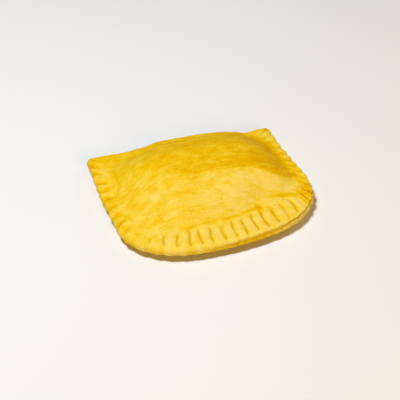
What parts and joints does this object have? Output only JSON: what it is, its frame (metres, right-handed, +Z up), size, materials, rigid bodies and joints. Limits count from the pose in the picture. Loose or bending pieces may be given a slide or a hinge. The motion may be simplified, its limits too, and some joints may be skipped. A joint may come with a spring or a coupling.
{
  "type": "jamaican patty",
  "caption": "Whole baked turnover patty: a plump golden crust folded at the back and sealed by fork crimps on the other sides.",
  "frame": {"origin": "centre of the bounding box in plan, at the height of the flat base", "axes": "+X along the fold, to the right with the crimped front towards the viewer; +Y back towards the fold; +Z up"},
  "size_m": [0.155, 0.123, 0.0255],
  "materials": {
    "crust": "baked pastry, satin, golden yellow with paler streaks"
  },
  "bodies": {
    "root": {"patty": "crust"}
  },
  "joints": []
}
